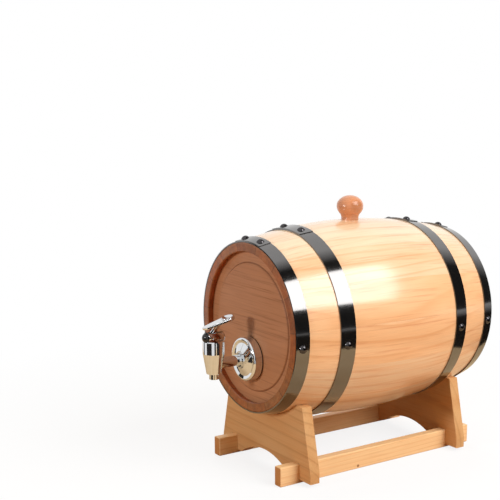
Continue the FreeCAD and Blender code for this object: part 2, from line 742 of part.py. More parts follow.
def make_spring():
    """Round-wire compression spring between the stem's foot and the bonnet's roof.

    One turn is lofted through SPRING_SECTIONS sections of the wire, each with SPRING_SIDES corners.
    """
    low = seal_top() + STEM_FOOT_THICKNESS + SPRING_WIRE_RADIUS + SPRING_SEAT
    high = chamber_roof() - SPRING_WIRE_RADIUS - SPRING_SEAT
    pitch = (high - low) / SPRING_TURNS
    rise = pitch / (2 * math.pi)
    sections = []
    for step in range(SPRING_TURNS * SPRING_SECTIONS + 1):
        turns = step / SPRING_SECTIONS
        outward = V(math.cos(2 * math.pi * turns), math.sin(2 * math.pi * turns), 0)
        centre = outward * SPRING_MEAN_RADIUS + V(0, 0, pitch * turns)
        across = V(-centre.y, centre.x, rise).cross(outward)
        across.normalize()
        corners = []
        for side in range(SPRING_SIDES):
            turn = 2 * math.pi * side / SPRING_SIDES
            corners.append(centre + (outward * math.cos(turn) + across * math.sin(turn)) * SPRING_WIRE_RADIUS)
        sections.append(loop(corners))
    coil = Part.makeLoft(sections, True, True)
    return coil.translated(tap_point(0, 0, low))


# Cradle
def board_front(index):
    """The lower y of the front board (0) or the rear board (1), between a quarter hoop and an end hoop."""
    if index == 0:
        return CASK_Y - END_HOOP_INSIDE + FRONT_BOARD_GAP
    return CASK_Y + END_HOOP_INSIDE - REAR_BOARD_GAP - BOARD_THICKNESS


def rail_centres():
    """The x of the two rails' centres, left and right."""
    centre = RAIL_INNER + RAIL_WIDTH / 2
    return -centre, centre


def cask_envelope():
    """Round body that leaves the saddle's clearance round the staves."""
    offset = SADDLE_CLEARANCE
    edges = [
        curve_along(-HALF_LENGTH, HALF_LENGTH, offset),
        line(V(surface_radius(HALF_LENGTH, offset), HALF_LENGTH, 0), V(0, HALF_LENGTH, 0)),
        line(V(0, HALF_LENGTH, 0), V(0, -HALF_LENGTH, 0)),
        line(V(0, -HALF_LENGTH, 0), V(surface_radius(-HALF_LENGTH, offset), -HALF_LENGTH, 0)),
    ]
    return turned(Part.Wire(Part.__sortEdges__(edges)), V(0, 1, 0)).translated(CASK_CENTRE)


def screw_low():
    return SCREW_RECESS


def make_board(index):
    """Board with sloped sides, horns, a saddle, an arch, feet and notches for the rails."""
    front = board_front(index)
    foot_top = BOARD_CLEAR + FOOT_HEIGHT
    right = [
        (BOARD_HALF_FOOT, BOARD_CLEAR),
        (BOARD_HALF_FOOT, foot_top),
        (BOARD_HALF_TOP, BOARD_TOP),
    ]
    outline = [V(x, front, z) for x, z in right] + [V(-x, front, z) for x, z in reversed(right)]
    board = Part.Face(loop(outline)).extrude(V(0, BOARD_THICKNESS, 0))
    board = board.makeFillet(BOARD_EDGE, [edge for edge in board.Edges if edge.BoundBox.YLength < BOARD_EDGE])
    through = BOARD_THICKNESS + 2
    arch = rod(ARCH_RADIUS, V(0, front - 1, ARCH_APEX - ARCH_RADIUS), V(0, 1, 0), through)
    cuts = [cask_envelope(), arch]
    for x in rail_centres():
        half = RAIL_WIDTH / 2 + NOTCH_FIT
        cuts.append(slab(V(x - half, front - 1, 0), V(x + half, front - 1 + through, RAIL_HEIGHT + NOTCH_FIT)))
        bottom = V(x, front + BOARD_THICKNESS / 2, screw_low())
        cuts.append(rod(SCREW_RADIUS + SCREW_FIT, bottom, V(0, 0, 1), SCREW_LENGTH + SCREW_FIT))
    return board.cut(cuts)


def make_rail(x):
    """Rail with rounded edges and countersunk holes for its two screws."""
    front = board_front(0) - RAIL_OVERHANG
    rear = board_front(1) + BOARD_THICKNESS + RAIL_OVERHANG
    half = RAIL_WIDTH / 2
    rail = slab(V(x - half, front, 0), V(x + half, rear, RAIL_HEIGHT))
    rail = rail.makeFillet(RAIL_EDGE, rail.Edges)
    for index in (0, 1):
        bottom = V(x, board_front(index) + BOARD_THICKNESS / 2, 0)
        rail = rail.cut(rod(SCREW_RADIUS + SCREW_FIT, bottom, V(0, 0, 1), RAIL_HEIGHT))
        wide = SCREW_HEAD_RADIUS + SCREW_FIT
        rail = rail.cut(rod(wide, bottom, V(0, 0, 1), SCREW_RECESS))
        sink = Part.makeCone(wide, SCREW_RADIUS + SCREW_FIT, SCREW_HEAD_HEIGHT, bottom + V(0, 0, SCREW_RECESS))
        rail = rail.cut(sink)
    return rail


def make_cradle_screws():
    """Four countersunk screws, up through the rails into the boards."""
    screws = []
    for x in rail_centres():
        for index in (0, 1):
            bottom = V(x, board_front(index) + BOARD_THICKNESS / 2, screw_low())
            head = Part.makeCone(SCREW_HEAD_RADIUS, SCREW_RADIUS, SCREW_HEAD_HEIGHT, bottom)
            screws.append(head.fuse(rod(SCREW_RADIUS, bottom, V(0, 0, 1), SCREW_LENGTH)))
    return Part.makeCompound(screws)


# Every node of the cask is made about the cask's own centre, then set on the cradle.
def cask_nodes():
    nodes = {"bung_stave": make_bung_stave()}
    for index in range(1, STAVE_COUNT):
        nodes[f"stave_{index:02d}"] = make_stave(index)
    nodes["front_head"] = make_front_head()
    nodes["rear_head"] = make_rear_head()
    hoops = [
        ("front_end", -END_HOOP_CENTRE, END_HOOP_WIDTH, FRONT_LAP_ANGLES),
        ("front_quarter", -QUARTER_HOOP_CENTRE, QUARTER_HOOP_WIDTH, FRONT_LAP_ANGLES),
        ("rear_quarter", QUARTER_HOOP_CENTRE, QUARTER_HOOP_WIDTH, REAR_LAP_ANGLES),
        ("rear_end", END_HOOP_CENTRE, END_HOOP_WIDTH, REAR_LAP_ANGLES),
    ]
    for name, centre, width, lap_angles in hoops:
        nodes[f"{name}_hoop"] = make_hoop(centre, width, lap_angles)
        nodes[f"{name}_rivets"] = make_rivets(centre, lap_angles)
    return nodes


def tap_nodes():
    return {
        "tap_body": make_tap_body(),
        "nozzle": make_nozzle(),
        "rosette": make_rosette(),
        "outer_gasket": make_washer(ROSETTE_RADIUS - ROSETTE_WALL / 2, rosette_back(), GASKET_THICKNESS),
        "inner_washer": make_washer(WASHER_RADIUS, head_inside(), WASHER_THICKNESS),
        "back_nut": make_back_nut(),
        "bonnet": make_bonnet(),
        "knuckle_plug": make_knuckle_plug(),
        "pivot_pin": make_pivot_pin(),
        "lever": make_lever(),
        "link_pin": make_link_pin(),
        "valve_stem": make_stem(),
        "valve_seal": make_seal(),
        "return_spring": make_spring(),
    }


def cradle_nodes():
    left, right = rail_centres()
    return {
        "front_board": make_board(0),
        "rear_board": make_board(1),
        "left_rail": make_rail(left),
        "right_rail": make_rail(right),
        "cradle_screws": make_cradle_screws(),
    }


def main():
    os.makedirs("parts", exist_ok=True)
    nodes = cask_nodes()
    nodes["bung"] = make_bung()
    nodes.update(tap_nodes())
    nodes = {name: shape.translated(CASK_CENTRE) for name, shape in nodes.items()}
    nodes.update(cradle_nodes())
    for name, shape in nodes.items():
        shape.exportStep(os.path.join("parts", name + ".step"))
        state = "ok" if shape.isValid() and shape.Volume > 0 else "BAD"
        print(name, len(shape.Solids), round(shape.Volume, 1), state)


main()
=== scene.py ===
"""Looks of a small wooden cask with a lever tap on a two-board cradle, built on its fixed frame."""

import json
import logging
import math
from dataclasses import dataclass, field
from enum import Enum

import bpy
from mathutils import Matrix, Quaternion, Vector


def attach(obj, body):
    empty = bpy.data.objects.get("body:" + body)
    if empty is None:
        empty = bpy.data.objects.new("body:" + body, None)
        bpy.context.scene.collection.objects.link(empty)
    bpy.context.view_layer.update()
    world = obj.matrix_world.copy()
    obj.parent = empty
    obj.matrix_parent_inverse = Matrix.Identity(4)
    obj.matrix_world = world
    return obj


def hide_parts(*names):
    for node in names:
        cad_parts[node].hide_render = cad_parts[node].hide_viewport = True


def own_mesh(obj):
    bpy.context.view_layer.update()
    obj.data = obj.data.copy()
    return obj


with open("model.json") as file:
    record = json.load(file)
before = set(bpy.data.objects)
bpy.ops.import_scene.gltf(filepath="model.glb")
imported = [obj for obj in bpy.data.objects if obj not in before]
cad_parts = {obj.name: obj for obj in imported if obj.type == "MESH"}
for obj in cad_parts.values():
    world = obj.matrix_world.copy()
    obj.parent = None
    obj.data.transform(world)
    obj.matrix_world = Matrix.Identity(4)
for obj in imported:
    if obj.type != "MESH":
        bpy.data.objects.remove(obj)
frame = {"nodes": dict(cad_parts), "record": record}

LOG = logging.getLogger("cask")
MM = 0.001
PHOTO_SIDE = 500

CASK_MIDDLE_MM = (0.0, 26.2, 154.6)
NEAR_TAP = (0.0, -0.146, 0.13)
UPWARD = (0.0, 0.0, 1.0)

Socket = bpy.types.NodeSocket
Tree = bpy.types.NodeTree
Colour = Socket | tuple[float, float, float, float]

MATH = "ShaderNodeMath"
VECTOR_MATH = "ShaderNodeVectorMath"
MAP_RANGE = "ShaderNodeMapRange"
COLOUR_MIX = "ShaderNodeMix"
NOISE = "ShaderNodeTexNoise"


def linear(code: str) -> tuple[float, float, float, float]:
    """Turn an sRGB hex colour into linear RGBA.

    Args:
        code: six hex digits with a leading #.

    Returns:
        Linear red, green and blue, and an alpha of 1.
    """
    parts = [int(code[i:i + 2], 16) / 255 for i in (1, 3, 5)]
    shades = [c / 12.92 if c <= 0.04045 else ((c + 0.055) / 1.055) ** 2.4 for c in parts]
    return (*shades, 1.0)


def add_node(
    tree: Tree, kind: str, settings: dict | None = None, links: dict | None = None
) -> bpy.types.Node:
    """Add a node with its settings and links.

    Args:
        tree: the node tree it goes in.
        kind: the node's type, such as MATH.
        settings: attributes, input values by socket name or number, and a ramp's "stops" as
            (place, hex) pairs.
        links: the output socket that feeds each input, by the input's name or number.

    Returns:
        The new node.
    """
    node = tree.nodes.new(kind)
    for key, value in (settings or {}).items():
        if key == "stops":
            elements = node.color_ramp.elements
            while len(elements) < len(value):
                elements.new(0.5)
            for element, (place, code) in zip(elements, value):
                element.position = place
                element.color = linear(code)
        elif isinstance(key, str) and hasattr(node, key):
            setattr(node, key, value)
        else:
            node.inputs[key].default_value = value
    for key, source in (links or {}).items():
        tree.links.new(source, node.inputs[key])
    return node


def new_material(name: str) -> tuple[bpy.types.Material, Tree, bpy.types.Node]:
    """Make an empty material with a Principled shader wired to its output.

    Args:
        name: the material's name.

    Returns:
        The material, its node tree and its Principled node.
    """
    material = bpy.data.materials.new(name)
    material.use_nodes = True
    tree = material.node_tree
    tree.nodes.clear()
    shader = add_node(tree, "ShaderNodeBsdfPrincipled")
    add_node(tree, "ShaderNodeOutputMaterial", links={"Surface": shader.outputs["BSDF"]})
    return material, tree, shader


def row_millimetres(tree: Tree) -> Socket:
    """Give the point being shaded in the row frame, in millimetres."""
    place = add_node(tree, "ShaderNodeTexCoord").outputs["Object"]
    return add_node(tree, VECTOR_MATH, {"operation": "SCALE", "Scale": 1 / MM}, {0: place}).outputs[0]


def about_cask(tree: Tree) -> tuple[Socket, Socket]:
    """Find the point's place about the cask's axis.

    Args:
        tree: the material's node tree.

    Returns:
        The point from the cask's middle, and its distance from the axis, in millimetres.
    """
    place = add_node(
        tree, VECTOR_MATH, {"operation": "SUBTRACT", 1: CASK_MIDDLE_MM}, {0: row_millimetres(tree)}
    ).outputs[0]
    flat = add_node(
        tree, VECTOR_MATH, {"operation": "MULTIPLY", 1: (1.0, 0.0, 1.0)}, {0: place}
    ).outputs[0]
    return place, add_node(tree, VECTOR_MATH, {"operation": "LENGTH"}, {0: flat}).outputs["Value"]


class Grain(Enum):
    """Which row axes run across, through and along a board: the grain runs along it."""

    ALONG_X = ("Z", "Y", "X")
    ALONG_Y = ("Z", "X", "Y")


@dataclass(frozen=True)
class Wood:
    """A sawn and planed wood with growth rings about a pith line, under a clear lacquer.

    Lengths are in millimetres, and the noises' rates are per millimetre across, through and along the
    grain. The rings are cut by the surface as on a real board, so a curved or sloped face shows its own
    figure.
    """

    name: str
    early: str
    late: str
    blush: str
    grain: Grain = Grain.ALONG_Y
    streak: str = "#D98252"
    pith: tuple[float, float] = (30.0, -40.0)
    ring: float = 4.2
    wander: float = 4.0
    blush_share: float = 0.6
    late_share: float = 0.7
    streak_share: float = 0.45
    bend: float = 0.0
    knots: tuple[tuple[float, float, float], ...] = ()
    knot_radius: float = 1.9
    knot_stain: str = "#7A3F20"
    sway_rates: tuple[float, float, float] = (0.013, 0.013, 0.0035)
    patch_rates: tuple[float, float, float] = (0.045, 0.045, 0.009)
    streak_rates: tuple[float, float, float] = (0.45, 0.45, 0.011)
    fibre_rates: tuple[float, float, float] = (1.4, 1.4, 0.03)
    seed_step: float = 9.0
    pith_step: tuple[float, float, float] = (50.0, 22.0, 0.0)
    roughness: float = 0.38
    specular: float = 0.35
    coat: float = 0.25
    coat_roughness: float = 0.12
    coat_ior: float = 1.5
    end_tint: str = "#E1E1E1"
    bump: float = 0.1

    def plank_space(self, tree: Tree) -> tuple[Socket, Socket | None]:
        """Find the point's place in its board.

        Args:
            tree: the material's node tree.

        Returns:
            The point across, through and along the board, and no seed.
        """
        apart = add_node(tree, "ShaderNodeSeparateXYZ", links={0: row_millimetres(tree)})
        across, through, along = (apart.outputs[axis] for axis in self.grain.value)
        plank = add_node(tree, "ShaderNodeCombineXYZ", links={0: across, 1: through, 2: along})
        return plank.outputs[0], None

    def dress(self, tree: Tree, shader: bpy.types.Node, colour: Socket) -> Socket:
        """Change the wood's colour and lacquer where they need it; a plain board needs nothing."""
        return colour

    def build(self) -> bpy.types.Material:
        """Build the material.

        Returns:
            The material, with its colour, gloss and fine relief from one set of rings and fibres.
        """
        material, tree, shader = new_material(self.name)
        plank, seed = self.plank_space(tree)
        drift = self.stretched(tree, plank, self.sway_rates, seed)
        sway = add_node(
            tree, NOISE, {"Scale": 1.0, "Detail": 2.0, "Roughness": 0.4}, {"Vector": drift}
        ).outputs["Fac"]
        ring = self.rings(tree, plank, seed, sway)
        # A ring's pale early wood darkens slowly to a thin late line and stops there.
        late = add_node(
            tree, "ShaderNodeValToRGB",
            {"stops": [
                (0.0, "#303030"), (0.3, "#000000"), (0.7, "#5A5A5A"), (0.9, "#FFFFFF"), (1.0, "#303030"),
            ]},
            {"Fac": ring},
        ).outputs["Color"]
        # Fibres about 0.7 mm apart and a few centimetres long: the real ones are finer and wouldn't show.
        fibre = add_node(
            tree, NOISE, {"Scale": 1.0, "Detail": 3.0, "Roughness": 0.6},
            {"Vector": self.stretched(tree, plank, self.fibre_rates, None)},
        ).outputs["Fac"]
        # Patches of warmer wood about 2 cm across and a hand's breadth long.
        patch = add_node(
            tree, NOISE, {"Scale": 1.0, "Detail": 2.0, "Roughness": 0.5},
            {"Vector": self.stretched(tree, plank, self.patch_rates, seed)},
        ).outputs["Fac"]
        ground = self.mixed(
            tree, self.spread(tree, patch, 0.35, 0.68, 0.0, self.blush_share),
            self.ground(tree), linear(self.blush),
        )
        # The late lines fade in and out along the board.
        strength = self.spread(tree, sway, 0.35, 0.65, 0.3 * self.late_share, self.late_share)
        line = add_node(tree, MATH, {"operation": "MULTIPLY"}, {0: late, 1: strength}).outputs[0]
        colour = self.mixed(tree, line, ground, linear(self.late))
        # Resin streaks 1 to 3 mm wide and several centimetres long.
        streaks = add_node(
            tree, NOISE, {"Scale": 1.0, "Detail": 4.0, "Roughness": 0.62},
            {"Vector": self.stretched(tree, plank, self.streak_rates, seed)},
        ).outputs["Fac"]
        resin = self.spread(tree, streaks, 0.54, 0.76, 0.0, self.streak_share)
        colour = self.mixed(tree, resin, colour, linear(self.streak))
        shade = self.spread(tree, fibre, 0.3, 0.7, 0.92, 1.03)
        colour = add_node(
            tree, VECTOR_MATH, {"operation": "SCALE"}, {0: colour, "Scale": shade}
        ).outputs[0]
        colour = self.with_end_grain(tree, self.with_knots(tree, colour))
        colour = self.dress(tree, shader, colour)
        relief = add_node(
            tree, MATH, {"operation": "MULTIPLY_ADD", 1: 0.5}, {0: ring, 2: fibre}
        ).outputs[0]
        bump = add_node(
            tree, "ShaderNodeBump", {"Strength": self.bump, "Distance": 0.12 * MM}, {"Height": relief}
        ).outputs["Normal"]
        shader.inputs["Specular IOR Level"].default_value = self.specular
        shader.inputs["Coat Weight"].default_value = self.coat
        shader.inputs["Coat Roughness"].default_value = self.coat_roughness
        shader.inputs["Coat IOR"].default_value = self.coat_ior
        tree.links.new(colour, shader.inputs["Base Color"])
        gloss = self.spread(tree, fibre, 0.3, 0.7, self.roughness - 0.03, self.roughness + 0.04)
        tree.links.new(gloss, shader.inputs["Roughness"])
        tree.links.new(bump, shader.inputs["Normal"])
        return material

    def stretched(
        self, tree: Tree, plank: Socket, rates: tuple[float, float, float], seed: Socket | None
    ) -> Socket:
        """Scale the board's space for a noise, and move it from board to board.

        Args:
            tree: the material's node tree.
            plank: the point across, through and along the board.
            rates: the noise's rates per millimetre.
            seed: the board's own random colour, or None where all boards are one.

        Returns:
            The noise's vector.
        """
        scaled = add_node(tree, VECTOR_MATH, {"operation": "MULTIPLY", 1: rates}, {0: plank}).outputs[0]
        if seed is None:
            return scaled
        step = (self.seed_step, self.seed_step, self.seed_step)
        return add_node(
            tree, VECTOR_MATH, {"operation": "MULTIPLY_ADD", 1: step}, {0: seed, 2: scaled}
        ).outputs[0]

    def spread(
        self, tree: Tree, value: Socket, low: float, high: float, start: float, end: float
    ) -> Socket:
        """Map a value onto a range, and hold it within that range.

        Args:
            tree: the material's node tree.
            value: the value to map.
            low: the value that gives the start.
            high: the value that gives the end.
            start: the range's start.
            end: the range's end.

        Returns:
            The mapped value.
        """
        return add_node(
            tree, MAP_RANGE, {"From Min": low, "From Max": high, "To Min": start, "To Max": end},
            {"Value": value},
        ).outputs["Result"]

    def mixed(self, tree: Tree, share: Socket, base: Colour, over: Colour) -> Socket:
        """Mix one colour over another.

        Args:
            tree: the material's node tree.
            share: how much of the upper colour shows, from 0 to 1.
            base: the lower colour, from a socket or fixed.
            over: the upper colour, from a socket or fixed.

        Returns:
            The mixed colour.
        """
        fixed = {slot: value for slot, value in ((6, base), (7, over)) if isinstance(value, tuple)}
        fed = {slot: value for slot, value in ((6, base), (7, over)) if not isinstance(value, tuple)}
        return add_node(tree, COLOUR_MIX, {"data_type": "RGBA", **fixed}, {0: share, **fed}).outputs[2]

    def ground(self, tree: Tree) -> Colour:
        """Give the early wood's colour; a plain board has one all over."""
        return linear(self.early)

    def rings(self, tree: Tree, plank: Socket, seed: Socket | None, sway: Socket) -> Socket:
        """Give how far the point is through its growth ring, from 0 to 1.

        Args:
            tree: the material's node tree.
            plank: the point across, through and along the board.
            seed: moves the pith line from board to board, or None.
            sway: noise from 0 to 1 that bends the rings.

        Returns:
            The share of the ring that lies inside the point.
        """
        moved = add_node(
            tree, VECTOR_MATH, {"operation": "SUBTRACT", 1: (*self.pith, 0.0)}, {0: plank}
        ).outputs[0]
        if seed is not None:
            moved = add_node(
                tree, VECTOR_MATH, {"operation": "MULTIPLY_ADD", 1: self.pith_step}, {0: seed, 2: moved}
            ).outputs[0]
        flat = add_node(
            tree, VECTOR_MATH, {"operation": "MULTIPLY", 1: (1.0, 1.0, 0.0)}, {0: moved}
        ).outputs[0]
        radius = add_node(tree, VECTOR_MATH, {"operation": "LENGTH"}, {0: flat}).outputs["Value"]
        wavy = add_node(
            tree, MATH, {"operation": "MULTIPLY_ADD", 1: 4 * self.wander}, {0: sway, 2: radius}
        ).outputs[0]
        count = add_node(tree, MATH, {"operation": "DIVIDE", 1: self.ring}, {0: wavy}).outputs[0]
        return add_node(tree, MATH, {"operation": "FRACT"}, {0: count}).outputs[0]

    def with_end_grain(self, tree: Tree, colour: Socket) -> Socket:
        """Tint the faces that cut across the grain, which drink more of the lacquer.

        Args:
            tree: the material's node tree.
            colour: the wood's colour so far.

        Returns:
            The colour with its end grain tinted.
        """
        normal = add_node(tree, "ShaderNodeNewGeometry").outputs["Normal"]
        endwise = add_node(tree, "ShaderNodeSeparateXYZ", links={0: normal}).outputs[self.grain.value[2]]
        facing = add_node(tree, MATH, {"operation": "ABSOLUTE"}, {0: endwise}).outputs[0]
        share = self.spread(tree, facing, 0.7, 0.95, 0.0, 1.0)
        tint = self.mixed(tree, share, linear("#FFFFFF"), linear(self.end_tint))
        return add_node(tree, VECTOR_MATH, {"operation": "MULTIPLY"}, {0: colour, 1: tint}).outputs[0]

    def with_knots(self, tree: Tree, colour: Socket) -> Socket:
        """Darken small round knots at their places in the row frame.

        Args:
            tree: the material's node tree.
            colour: the wood's colour so far.

        Returns:
            The colour with its knots.
        """
        for knot in self.knots:
            away = add_node(
                tree, VECTOR_MATH, {"operation": "DISTANCE", 1: knot}, {0: row_millimetres(tree)}
            ).outputs["Value"]
            share = self.spread(tree, away, 0.5 * self.knot_radius, self.knot_radius, 0.85, 0.0)
            colour = self.mixed(tree, share, colour, linear(self.knot_stain))
        return colour


@dataclass(frozen=True)
class StaveWood(Wood):
    """The staves' wood: each stave is its own board, and the chime's ends and inside are stained."""

    stave_count: int = 15
    half_length: float = 133.0
    bilge_drop: float = 16.5
    stained_depth: float = 8.5
    stained_radius: float = 86.4
    end_depth: float = 1.1
    tone_rate: float = 1.4
    tone_start: float = -1.963
    pale: str = "#F2D8B2"
    rim: str = "#AA7F5C"
    wall: str = "#B27648"
    stained_coat: float = 0.15
    blotch_rate: float = 0.11
    seam_share: float = 0.03

    def from_axis(self, tree: Tree) -> tuple[Socket, Socket, Socket]:
        """Find the point's place round and along the cask.

        Args:
            tree: the material's node tree.

        Returns:
            The angle about the cask's axis, the distance from it and the distance along it.
        """
        place, radius = about_cask(tree)
        apart = add_node(tree, "ShaderNodeSeparateXYZ", links={0: place}).outputs
        angle = add_node(
            tree, MATH, {"operation": "ARCTAN2"}, {0: apart["Z"], 1: apart["X"]}
        ).outputs[0]
        return angle, radius, apart["Y"]

    def plank_space(self, tree: Tree) -> tuple[Socket, Socket | None]:
        """Find the point's place in its own stave.

        Args:
            tree: the material's node tree.

        Returns:
            The point across, through and along its stave, and that stave's random colour.
        """
        angle, radius, along = self.from_axis(tree)
        step = 2 * math.pi / self.stave_count
        start = math.pi / 2 - step / 2
        turned = add_node(tree, MATH, {"operation": "SUBTRACT", 1: start - 2 * math.pi}, {0: angle})
        share = add_node(tree, MATH, {"operation": "DIVIDE", 1: step}, {0: turned.outputs[0]})
        whole = add_node(tree, MATH, {"operation": "FLOOR"}, {0: share.outputs[0]})
        wrapped = add_node(
            tree, MATH, {"operation": "MODULO", 1: float(self.stave_count)}, {0: whole.outputs[0]}
        )
        part = add_node(tree, MATH, {"operation": "FRACT"}, {0: share.outputs[0]})
        local = add_node(
            tree, MATH, {"operation": "MULTIPLY_ADD", 1: step, 2: -step / 2}, {0: part.outputs[0]}
        )
        sine = add_node(tree, MATH, {"operation": "SINE"}, {0: local.outputs[0]})
        cosine = add_node(tree, MATH, {"operation": "COSINE"}, {0: local.outputs[0]})
        across = add_node(tree, MATH, {"operation": "MULTIPLY"}, {0: radius, 1: sine.outputs[0]})
        through = add_node(tree, MATH, {"operation": "MULTIPLY"}, {0: radius, 1: cosine.outputs[0]})
        # The staves are bent, so most of their bow is taken out before the rings are laid in them.
        bow = add_node(tree, MATH, {"operation": "MULTIPLY"}, {0: along, 1: along}).outputs[0]
        straight = add_node(
            tree, MATH,
            {"operation": "MULTIPLY_ADD", 1: self.bend * self.bilge_drop / self.half_length ** 2},
            {0: bow, 2: through.outputs[0]},
        ).outputs[0]
        plank = add_node(tree, "ShaderNodeCombineXYZ", links={0: across.outputs[0], 1: straight, 2: along})
        seed = add_node(
            tree, "ShaderNodeTexWhiteNoise", {"noise_dimensions": "1D"}, {"W": wrapped.outputs[0]}
        )
        return plank.outputs[0], seed.outputs["Color"]

    def ground(self, tree: Tree) -> Colour:
        """Give each stave's early wood its own tone: neighbours run from pale to honey in slow turns.

        Args:
            tree: the material's node tree.

        Returns:
            The early wood's colour.
        """
        angle, _, _ = self.from_axis(tree)
        share = add_node(
            tree, MATH, {"operation": "DIVIDE", 1: 2 * math.pi / self.stave_count}, {0: angle}
        ).outputs[0]
        shifted = add_node(
            tree, MATH, {"operation": "SUBTRACT", 1: 0.25 * self.stave_count}, {0: share}
        )
        whole = add_node(tree, MATH, {"operation": "ROUND"}, {0: shifted.outputs[0]}).outputs[0]
        number = add_node(
            tree, MATH, {"operation": "FLOORED_MODULO", 1: float(self.stave_count)}, {0: whole}
        ).outputs[0]
        turn = add_node(
            tree, MATH,
            {"operation": "MULTIPLY_ADD", 1: self.tone_rate, 2: self.tone_start}, {0: number},
        ).outputs[0]
        wave = add_node(tree, MATH, {"operation": "SINE"}, {0: turn}).outputs[0]
        honey = self.spread(tree, wave, -1.0, 1.0, 0.0, 1.0)
        return self.mixed(tree, honey, linear(self.pale), linear(self.early))

    def dress(self, tree: Tree, shader: bpy.types.Node, colour: Socket) -> Socket:
        """Stain the ends and the inner wall of both chimes, and leave them nearly bare of lacquer.

        Args:
            tree: the material's node tree.
            shader: the Principled node, whose coat thins where the stain is.
            colour: the wood's colour so far.

        Returns:
            The colour with the stain, which lets the grain show.
        """
        angle, radius, along = self.from_axis(tree)
        wall, end = self.stained_parts(tree, radius, along)
        tone = self.stain_tone(tree, angle)
        bare = colour
        for mask, code in ((wall, self.wall), (end, self.rim)):
            grained = add_node(
                tree, VECTOR_MATH, {"operation": "MULTIPLY", 1: linear(code)[:3]}, {0: bare}
            ).outputs[0]
            stained = add_node(
                tree, VECTOR_MATH, {"operation": "SCALE"}, {0: grained, "Scale": tone}
            ).outputs[0]
            colour = self.mixed(tree, mask, colour, stained)
        stain = add_node(tree, MATH, {"operation": "MAXIMUM"}, {0: wall, 1: end}).outputs[0]
        lacquer = self.spread(tree, stain, 0.0, 1.0, self.coat, self.stained_coat)
        tree.links.new(lacquer, shader.inputs["Coat Weight"])
        return colour

    def stained_parts(self, tree: Tree, radius: Socket, along: Socket) -> tuple[Socket, Socket]:
        """Find the parts of the chime that hold stain.

        Args:
            tree: the material's node tree.
            radius: the distance from the cask's axis.
            along: the distance along the axis from the cask's middle.

        Returns:
            Masks of the wall inside the chime and of the staves' ends.
        """
        reach = add_node(tree, MATH, {"operation": "ABSOLUTE"}, {0: along}).outputs[0]
        end = add_node(
            tree, MATH,
            {"operation": "GREATER_THAN", 1: self.half_length - self.end_depth}, {0: reach},
        ).outputs[0]
        deep = add_node(
            tree, MATH,
            {"operation": "GREATER_THAN", 1: self.half_length - self.stained_depth}, {0: reach},
        ).outputs[0]
        inside = add_node(
            tree, MATH, {"operation": "LESS_THAN", 1: self.stained_radius}, {0: radius}
        ).outputs[0]
        wall = add_node(tree, MATH, {"operation": "MULTIPLY"}, {0: deep, 1: inside}).outputs[0]
        return wall, end

    def stain_tone(self, tree: Tree, angle: Socket) -> Socket:
        """Vary the stain over the chime.

        Args:
            tree: the material's node tree.
            angle: the angle about the cask's axis.

        Returns:
            The level that the stained colour is scaled by.
        """
        # End grain drinks the stain unevenly: blotches about a centimetre across.
        blotch = add_node(
            tree, NOISE, {"Scale": self.blotch_rate, "Detail": 5.0, "Roughness": 0.65},
            {"Vector": row_millimetres(tree)},
        ).outputs["Fac"]
        tone = self.spread(tree, blotch, 0.3, 0.7, 0.62, 1.22)
        # Each stave's end has its own tone, with a dark seam about a millimetre wide on either side.
        share = add_node(
            tree, MATH,
            {"operation": "MULTIPLY_ADD", 1: self.stave_count / (2 * math.pi), 2: 0.75}, {0: angle},
        ).outputs[0]
        number = add_node(tree, MATH, {"operation": "FLOOR"}, {0: share}).outputs[0]
        own = add_node(
            tree, "ShaderNodeTexWhiteNoise", {"noise_dimensions": "1D"}, {"W": number}
        ).outputs["Value"]
        beside = add_node(tree, MATH, {"operation": "PINGPONG", 1: 0.5}, {0: share}).outputs[0]
        seam = self.spread(tree, beside, 0.0, self.seam_share, 0.6, 1.0)
        for factor in (self.spread(tree, own, 0.0, 1.0, 0.88, 1.14), seam):
            tone = add_node(tree, MATH, {"operation": "MULTIPLY"}, {0: tone, 1: factor}).outputs[0]
        return tone


@dataclass(frozen=True)
class HeadWood(Wood):
    """The stained heads, with a thin dark line of painted shade along the step round the raised field."""

    field_radius: float = 67.6
    shade_line_width: float = 1.0
    shade_line_share: float = 0.6
    # The colour of the painted line of shade at the step.
    line: str = "#5A3219"

    def dress(self, tree: Tree, shader: bpy.types.Node, colour: Socket) -> Socket:
        """Paint a thin dark line of shade all round the field's step.

        Args:
            tree: the material's node tree.
            shader: the Principled node, which stays as it is.
            colour: the wood's colour so far.

        Returns:
            The colour with the painted line of shade.
        """
        _, radius = about_cask(tree)
        away = add_node(
            tree, MATH, {"operation": "SUBTRACT", 1: self.field_radius}, {0: radius}
        ).outputs[0]
        near = add_node(tree, MATH, {"operation": "ABSOLUTE"}, {0: away}).outputs[0]
        # Painted shade: darkest right at the step, gone a millimetre either side of it.
        mask = self.spread(tree, near, 0.0, self.shade_line_width, self.shade_line_share, 0.0)
        return self.mixed(tree, mask, colour, linear(self.line))


